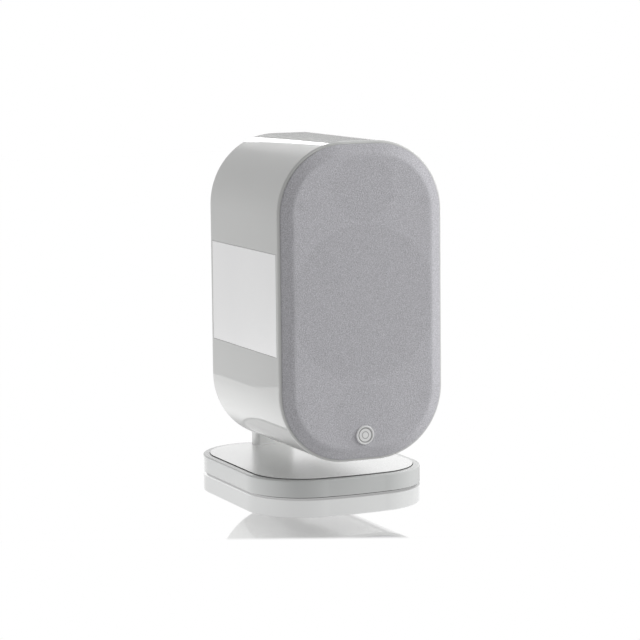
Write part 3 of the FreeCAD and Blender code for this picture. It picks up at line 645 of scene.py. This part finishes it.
def mesh_from_grid(name: str, grid: np.ndarray) -> bpy.types.Object:
    """Make a mesh of quads from a grid of points whose last column joins the first.

    Args:
        name: name of the object.
        grid: array (rows, columns, 3) in metres.

    Returns:
        The object, with doubles merged.
    """
    rows, columns, _ = grid.shape
    left = np.arange(rows * columns).reshape(rows, columns)
    right = np.roll(left, -1, axis=1)
    quads = np.stack([left[:-1], right[:-1], right[1:], left[1:]], axis=-1).reshape(-1, 4)
    mesh = bpy.data.meshes.new(name)
    mesh.from_pydata(grid.reshape(-1, 3).tolist(), [], quads.tolist())
    piece = bpy.data.objects.new(name, mesh)
    bpy.context.scene.collection.objects.link(piece)
    work = bmesh.new()
    work.from_mesh(mesh)
    bmesh.ops.remove_doubles(work, verts=work.verts, dist=MERGE)
    bmesh.ops.dissolve_degenerate(work, edges=work.edges, dist=MERGE / 10)
    work.to_mesh(mesh)
    work.free()
    mesh.polygons.foreach_set("use_smooth", np.ones(len(mesh.polygons), dtype=bool))
    return piece


@dataclass(frozen=True)
class GrilleCloth:
    """Knit cloth stretched over the bevelled grille frame and tucked behind it."""

    corner_radius: float = 0.054
    smallest_radius: float = 1e-5
    bevel_width: float = 0.00875
    bevel_depth: float = 0.0040
    slope_reach: float = 1.5
    softness: float = 0.075
    tuck: float = 0.0006
    hem: float = 0.0012
    thickness: float = 0.0004
    slope_rings: int = 26
    flat_rings: int = 22
    corner_points: int = 48

    def profile(self, low: Vector, high: Vector) -> List[Pair]:
        """Section of the cloth, from the hem behind the frame round its edge and up to the middle.

        The height is the bevel's straight slope run into the flat front through a soft minimum.

        Args:
            low: lowest corner of the cloth's box.
            high: highest corner of the cloth's box.

        Returns:
            How far in from the outline each ring lies, and its place along Y.
        """
        slope_end = self.bevel_width * self.slope_reach
        slope = np.linspace(0.0, slope_end, self.slope_rings)
        flat = np.linspace(slope_end, (high.x - low.x) / 2, self.flat_rings)[1:]
        insets = np.concatenate([slope, flat])
        left = 1.0 - insets / self.bevel_width
        drop = self.softness * np.log1p(np.exp(left / self.softness))
        rise = self.bevel_depth * np.clip(1.0 - drop, 0.0, 1.0)
        half = self.thickness / 2
        behind = high.y - half
        edge = low.y + self.bevel_depth + half
        rows = [(self.hem, behind), (self.tuck, behind), (half, high.y - self.thickness)]
        return rows + [(inset + half, edge - up) for inset, up in zip(insets, rise)]

    def surface(self, low: Vector, high: Vector) -> np.ndarray:
        """Grid of the cloth: rings drawn in from the outline, each at its place on the section.

        Args:
            low: lowest corner of the cloth's box.
            high: highest corner of the cloth's box.

        Returns:
            Array (rings, points, 3) in metres.
        """
        half_w = (high.x - low.x) / 2
        half_h = (high.z - low.z) / 2
        middle_x = (low.x + high.x) / 2
        middle_z = (low.z + high.z) / 2
        rings = []
        for inset, y in self.profile(low, high):
            radius = max(self.corner_radius - inset, self.smallest_radius)
            ring = rounded_ring(half_w - min(inset, half_w), half_h - inset, radius, self.corner_points)
            depth = np.full(len(ring), y)
            rings.append(np.stack([ring[:, 0] + middle_x, depth, ring[:, 1] + middle_z], axis=1))
        return np.array(rings)

    def build(self) -> bpy.types.Object:
        """Returns:
            The cloth's object.
        """
        low, high = (Vector(corner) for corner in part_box("grille_cloth"))
        piece = mesh_from_grid("grille_cloth_knit", self.surface(low, high))
        solid = piece.modifiers.new("thickness", "SOLIDIFY")
        solid.thickness = self.thickness
        solid.offset = 0.0
        slope_extra = math.hypot(self.bevel_width, self.bevel_depth) - self.bevel_width
        more = 2 * (slope_extra + self.tuck + self.hem)
        flat = (high.x - low.x + more, high.z - low.z + more)
        area = flat[0] * flat[1] - (4 - math.pi) * (self.corner_radius + more / 2) ** 2
        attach(piece, "grille")
        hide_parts("grille_cloth")
        log.info("grille cloth %.4f x %.4f m flat", *flat)
        return piece


@dataclass(frozen=True)
class Wadding:
    """Loose polyester fill behind the woofer."""

    rows: int = 60
    columns: int = 96
    squareness: float = 0.35
    lump: float = 0.0016
    long_wave: Tuple[int, int] = (7, 5)
    cross_wave: Tuple[int, int] = (11, -9)
    bands: int = 6
    fill: float = 0.4

    def power(self, wave: np.ndarray) -> np.ndarray:
        """Signed power that squares a round section."""
        return np.sign(wave) * np.abs(wave) ** self.squareness

    def build(self) -> bpy.types.Object:
        """Make a squared ellipsoid, lumpy by a sum of sines, inside the solid that it stands for.

        Returns:
            The wadding's object.
        """
        low, high = (np.array(corner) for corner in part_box("acoustic_wadding"))
        half = (high - low) / 2 - self.lump * 2
        v = np.linspace(-np.pi / 2, np.pi / 2, self.rows)[:, None]
        u = np.linspace(0.0, 2 * np.pi, self.columns, endpoint=False)[None, :]
        shape = np.stack([self.power(np.cos(v)) * self.power(np.cos(u)),
                          self.power(np.cos(v)) * self.power(np.sin(u)),
                          self.power(np.sin(v)) * np.ones_like(u)], axis=-1)
        long_part = np.sin(self.long_wave[0] * u + self.long_wave[1] * v)
        cross_part = np.sin(self.cross_wave[0] * u + self.cross_wave[1] * v) * np.cos(self.bands * v)
        lumps = (long_part + cross_part) * 0.5 * np.cos(v)
        grid = (low + high) / 2 + shape * (half + self.lump * lumps[..., None])
        piece = mesh_from_grid("wadding_fleece", grid)
        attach(piece, "cabinet")
        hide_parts("acoustic_wadding")
        log.info("wadding %.3f x %.3f x %.3f m", *(2 * half))
        return piece


def centre_of(node: str) -> Tuple[float, float, float]:
    """Centre of a node's box."""
    low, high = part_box(node)
    return tuple((a + b) / 2 for a, b in zip(low, high))


def top_of(node: str) -> float:
    """Height of a node's highest point."""
    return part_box(node)[1][2]


def half_width(node: str) -> float:
    """Half of a node's size along X."""
    low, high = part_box(node)
    return (high[0] - low[0]) / 2


def wear(piece: bpy.types.Object, material: bpy.types.Material) -> None:
    """Put one material in every slot of a piece.

    Args:
        piece: the piece, with or without slots.
        material: what it wears.
    """
    if not piece.material_slots:
        piece.data.materials.append(material)
    for place in piece.material_slots:
        place.material = material


@dataclass(frozen=True)
class Finishes:
    """Which finish each piece gets."""

    cabinet_white: Color = (0.60, 0.605, 0.595)
    base_white: Color = (0.53, 0.54, 0.535)
    column_white: Color = (0.90, 0.905, 0.895)
    panel_silver: Color = (0.97, 0.97, 0.975)
    pad_silver: Color = (0.95, 0.95, 0.95)
    badge_silver: Color = (0.90, 0.90, 0.90)
    steel: Color = (0.56, 0.56, 0.57)
    knit_grey: Color = (0.50, 0.496, 0.523)
    fleece_white: Color = (0.80, 0.80, 0.78)
    driver_opening: float = 0.061
    small_opening: float = 0.026
    small_up: float = 0.089
    pegs: Pair = (0.052, 0.077)

    def palette(self) -> Dict[str, Tuple[Finish, List[str]]]:
        """List the finishes of the frame's pieces.

        Returns:
            Finish by name, with the nodes that wear it.
        """
        badge = SpunBadge(self.badge_silver, centre_of("grille_badge"), half_width("grille_badge"))
        return {
            "cabinet_gloss": (Lacquer(self.cabinet_white), ["cabinet_shell"]),
            "panel_satin": (Satin(self.panel_silver, 0.36, 0.9, Grain.ALONG_Y),
                            ["side_panel_left", "side_panel_right"]),
            # The pad wears a painted shade band along its side under its top.
            "pad_satin_painted_shade": (Satin(self.pad_silver, 0.26, 0.6, top=top_of("base_inset_pad")),
                          ["base_inset_pad"]),
            "base_gloss": (Lacquer(self.base_white), ["base_plate"]),
            "column_paint": (Satin(self.column_white, 0.36, 0.25),
                             ["column", "swivel_head", "mount_bracket"]),
            "black_mould": (Moulded((0.025, 0.025, 0.026)),
                            ["grille_frame", "tweeter_faceplate", "port_tube", "terminal_plate",
                             "woofer_trim_ring", "crossover_standoffs", "friction_washers"]),
            "black_knob": (Moulded((0.02, 0.02, 0.02), 0.3, coat=0.4), ["binding_knob_black"]),
            "red_knob": (Moulded((0.45, 0.015, 0.015), 0.28, coat=0.5), ["binding_knob_red"]),
            "red_film": (Moulded((0.40, 0.03, 0.02), 0.3, coat=0.3), ["crossover_capacitors"]),
            "soft_rubber": (Moulded((0.03, 0.03, 0.03), 0.7, 0.0009, 0.00004),
                            ["woofer_surround", "baffle_gasket", "woofer_gasket", "grille_grommets"]),
            "mat_foam": (Moulded((0.13, 0.13, 0.13), 0.7, 0.0009, 0.00004), ["foot_mat"]),
            "baffle_paint": (Moulded((0.03, 0.03, 0.03), 0.6, 0.0012, 0.00005), ["front_baffle"]),
            "frame_powder": (Moulded((0.05, 0.05, 0.05), 0.55, 0.0007, 0.00006), ["woofer_basket"]),
            "wire_jacket": (Moulded((0.45, 0.04, 0.04), 0.4), ["woofer_wires", "tweeter_wires"]),
            "board_mask": (Moulded((0.03, 0.14, 0.06), 0.35, coat=0.3), ["crossover_board"]),
            "ferrite": (Moulded((0.06, 0.06, 0.065), 0.62, 0.0008, 0.00004),
                        ["woofer_magnet", "tweeter_magnet"]),
            "machined_steel": (Turned(self.steel, centre_of("woofer_yoke")),
                               ["woofer_front_plate", "woofer_yoke", "pan_pin", "ballast_plate"]),
            "machined_small": (Turned(self.steel, centre_of("tweeter_yoke")),
                               ["tweeter_front_plate", "tweeter_yoke"]),
            "zinc": (Satin((0.62, 0.62, 0.63), 0.3, pitch=0.0005),
                     ["baffle_screws", "driver_screws", "terminal_screws", "bracket_screws", "tilt_bolt",
                      "tilt_nut", "column_screws", "ballast_screws"]),
            "gold": (Satin((0.85, 0.62, 0.25), 0.2, pitch=0.0006),
                     ["terminal_studs", "clamp_washer_red", "clamp_washer_black"]),
            "brass": (Satin((0.72, 0.52, 0.22), 0.3), ["terminal_nuts", "pan_bush"]),
            "copper_turns_painted_shade": (Winding((0.70, 0.30, 0.14)),
                             ["crossover_coils", "woofer_voice_coil", "tweeter_voice_coil"]),
            "cone_paper": (Pulp((0.06, 0.06, 0.062)), ["woofer_cone", "woofer_dust_cap"]),
            "dome_silk": (Pulp((0.05, 0.05, 0.055), 0.0006), ["tweeter_dome", "tweeter_surround"]),
            "spider_cloth": (Pulp((0.50, 0.34, 0.12), 0.0008), ["woofer_spider"]),
            "badge_spun": (badge, ["grille_badge"]),
        }

    def dress_frame(self, nodes: Dict[str, bpy.types.Object]) -> None:
        """Give every node of the frame its finish.

        Args:
            nodes: the frame's objects by name.
        """
        for name, (finish, wearers) in self.palette().items():
            material = finish.build(name)
            for wearer in wearers:
                wear(nodes[wearer], material)
            log.info("finish %s on %d nodes", name, len(wearers))

    def knit(self) -> Knit:
        """Grille cloth with its faint painted-shade discs counted from the middle of the cabinet's front.
        """
        x, _, z = centre_of("cabinet_shell")
        return Knit(self.knit_grey, (x, 0.0, z), self.driver_opening, self.small_opening, self.small_up,
                    self.pegs)

    def fleece(self) -> Pulp:
        """Soft white fibre of the wadding."""
        return Pulp(self.fleece_white, 0.002, 0.95)


@dataclass(frozen=True)
class Studio:
    """White glossy table, bright backdrop, two glowing cards, a soft key light and the camera."""

    azimuth: float = -24.36
    elevation: float = 6.86
    distance: float = 2.021
    aim_z: float = 0.1543
    lens: float = 141.86
    sensor: float = 36.0
    shift: Pair = (-0.0062, -0.0431)
    roll: float = -0.57
    grey: float = 0.42
    far_glow: float = 0.80
    far_angles: Pair = (75.0, 45.0)
    backdrop: float = 1.0
    backdrop_angles: Pair = (42.0, 26.0)
    table_size: float = 8.0
    table_drop: float = 0.0003
    table_glow: float = 0.58
    table_roughness: float = 0.03
    lit_radii: Pair = (0.44, 0.66)
    centre_guard: float = 0.001
    patch_glow: float = 0.7
    patch_way: Pair = (-0.41, 0.91)
    patch_start: Pair = (-0.06, 0.02)
    patch_end: Pair = (0.54, 0.56)
    patch_right: Pair = (-0.07, -0.02)
    patch_left: Pair = (-0.9, -0.6)
    veil: float = 0.34
    veil_end: Pair = (0.202, 0.213)
    flag_away: float = 0.5
    flag_half: float = 0.33
    flag_right: float = 0.13
    flag_levels: Tuple[float, float, float] = (0.293, 0.408, 0.445)
    flag_glow: Pair = (0.45, 5.0)
    key_place: Tuple[float, float, float] = (1.7, -0.75, 0.85)
    key_size: float = 1.2
    key_power: float = 40.0

    def back(self) -> Vector:
        """Direction from the object to the camera, worked out from the azimuth and the elevation.

        Returns:
            A unit vector.
        """
        a = math.radians(self.azimuth)
        e = math.radians(self.elevation)
        return Vector((math.sin(a) * math.cos(e), -math.cos(a) * math.cos(e), math.sin(e)))

    def add_camera(self) -> None:
        """Camera on the sight line, turned by its roll."""
        data = bpy.data.cameras.new("camera")
        data.lens = self.lens
        data.sensor_width = self.sensor
        data.shift_x, data.shift_y = self.shift
        camera = bpy.data.objects.new("camera", data)
        bpy.context.scene.collection.objects.link(camera)
        back = self.back()
        turn = back.to_track_quat("Z", "Y").to_matrix().to_4x4()
        roll = Matrix.Rotation(math.radians(self.roll), 4, "Z")
        place = Matrix.Translation(Vector((0.0, 0.0, self.aim_z)) + back * self.distance)
        camera.matrix_world = place @ turn @ roll
        bpy.context.scene.camera = camera

    def sector(self, g: Graph, cosine: Socket, angles: Pair) -> Socket:
        """0 outside the first angle from the way to the backdrop, and 1 inside the second."""
        return g.step(cosine, *(math.cos(math.radians(angle)) for angle in angles))

    def far(self, g: Graph, cosine: Socket) -> Socket:
        """Light of the far studio: grey, and brighter towards the backdrop."""
        return self.grey + (self.far_glow - self.grey) * self.sector(g, cosine, self.far_angles)

    def add_world(self) -> None:
        """Grey studio, white towards the backdrop and white to the camera."""
        world = bpy.data.worlds.new("studio")
        bpy.context.scene.world = world
        g = Graph(world)
        ahead = -self.back()
        ahead.z = 0.0
        ahead.normalize()
        dot = g.node("VectorMath", {"operation": "DOT_PRODUCT"},
                     {0: g.node("TexCoord").outputs["Generated"], 1: tuple(ahead)})
        cosine = Socket(g, dot.outputs["Value"])
        white = self.backdrop * self.sector(g, cosine, self.backdrop_angles)
        level = g.math("MAXIMUM", self.far(g, cosine), white)
        seen = g.node("LightPath").outputs["Is Camera Ray"]
        light = g.node("Background", {}, {"Color": WHITE, "Strength": g.math("MAXIMUM", level, seen)})
        g.node("OutputWorld", {}, {0: light.outputs[0]})

    def patch(self, g: Graph, x: Socket, y: Socket) -> Socket:
        """Bright patch of the table, left of the cabinet and running back, which lights its side.

        Args:
            g: the table's node tree.
            x: place across the table.
            y: place along the table.

        Returns:
            1 on the patch and 0 off it, with soft ends.
        """
        along = y * self.patch_way[1] + x * self.patch_way[0]
        length = g.step(along, *self.patch_start) * (1.0 - g.step(along, *self.patch_end))
        return length * (1.0 - g.step(x, *self.patch_right)) * g.step(x, *self.patch_left)

    def add_table(self) -> None:
        """Table top: a clean mirror where it is seen, and a lit white patch where it lights the object."""
        half = self.table_size / 2
        signs = ((-1, -1), (1, -1), (1, 1), (-1, 1))
        corners = [(sx * half, sy * half, -self.table_drop) for sx, sy in signs]
        material = bpy.data.materials.new("table_gloss")
        g = Graph(material)
        x, y, _ = g.axes()
        away = (x * x + y * y) ** 0.5
        ahead = x * self.back().x + y * self.back().y
        far = self.far(g, ahead / (away + self.centre_guard) * -1.0)
        near = 1.0 - g.step(away, *self.lit_radii)
        glow = far + (self.table_glow - far) * near + self.patch(g, x, y) * self.patch_glow
        fade = self.veil + (1.0 - self.veil) * g.step(ahead, *self.veil_end)
        glossy = g.node("BsdfGlossy", {}, {"Color": WHITE, "Roughness": self.table_roughness})
        seen = g.node("MixShader", {}, {0: fade, 1: glossy.outputs[0], 2: g.glow(1.0)})
        path = g.node("LightPath")
        whole = g.node("MixShader", {},
                       {0: path.outputs["Is Camera Ray"], 1: g.glow(glow), 2: seen.outputs[0]})
        g.node("OutputMaterial", {}, {0: whole.outputs[0]})
        self.add_stage("table_top", corners, material)

    def add_stage(self, name: str, corners: List[Tuple[float, float, float]],
                  material: bpy.types.Material) -> bpy.types.Object:
        """Make one flat piece of the stage.

        Args:
            name: name of the object.
            corners: its four corners in turn.
            material: what it wears.

        Returns:
            The object.
        """
        mesh = bpy.data.meshes.new(name)
        mesh.from_pydata(corners, [], [(0, 1, 2, 3)])
        mesh.materials.append(material)
        piece = bpy.data.objects.new(name, mesh)
        bpy.context.scene.collection.objects.link(piece)
        return piece

    def add_flag(self, name: str, low: float, high: float, strength: float) -> None:
        """Upright glowing card behind the speaker, seen only in its gloss.

        Args:
            name: name of the card and its material.
            low: height of its lower side.
            high: height of its upper side.
            strength: how brightly it glows.
        """
        left = Vector((self.back().y, -self.back().x, 0.0)).normalized()
        middle = -self.back() * self.flag_away - left * self.flag_right
        first, last = (middle + left * reach for reach in (-self.flag_half, self.flag_half))
        corners = [(first.x, first.y, low), (last.x, last.y, low),
                   (last.x, last.y, high), (first.x, first.y, high)]
        material = bpy.data.materials.new(name)
        g = Graph(material)
        g.node("OutputMaterial", {}, {0: g.glow(strength)})
        flag = self.add_stage(name, corners, material)
        flag.visible_camera = False
        flag.visible_diffuse = False
        flag.visible_shadow = False

    def add_key(self) -> None:
        """Square soft light from the right that faces the cabinet and stays out of its gloss."""
        data = bpy.data.lights.new("key_right", "AREA")
        data.size = self.key_size
        data.energy = self.key_power
        lamp = bpy.data.objects.new("key_right", data)
        bpy.context.scene.collection.objects.link(lamp)
        spot = Vector(self.key_place)
        aim = (spot - Vector((0.0, 0.0, self.aim_z))).to_track_quat("Z", "Y").to_matrix().to_4x4()
        lamp.matrix_world = Matrix.Translation(spot) @ aim
        lamp.visible_glossy = False

    def build(self) -> None:
        """Set up camera, world, table, cards and light."""
        low, seam, high = self.flag_levels
        grey_glow, bright_glow = self.flag_glow
        self.add_camera()
        self.add_world()
        self.add_table()
        self.add_flag("grey_flag", low, seam, grey_glow)
        self.add_flag("bright_strip", seam, high, bright_glow)
        self.add_key()
        bpy.context.scene.view_settings.view_transform = "Standard"
        log.info("studio ready")


def main() -> None:
    """Build the speaker's looks round the frame."""
    logging.basicConfig(level=logging.INFO)
    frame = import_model()
    finishes = Finishes()
    finishes.dress_frame(frame["nodes"])
    wear(GrilleCloth().build(), finishes.knit().build("grille_knit_with_painted_shade"))
    wear(Wadding().build(), finishes.fleece().build("fleece"))
    Studio().build()


if __name__ == "__main__":
    main()
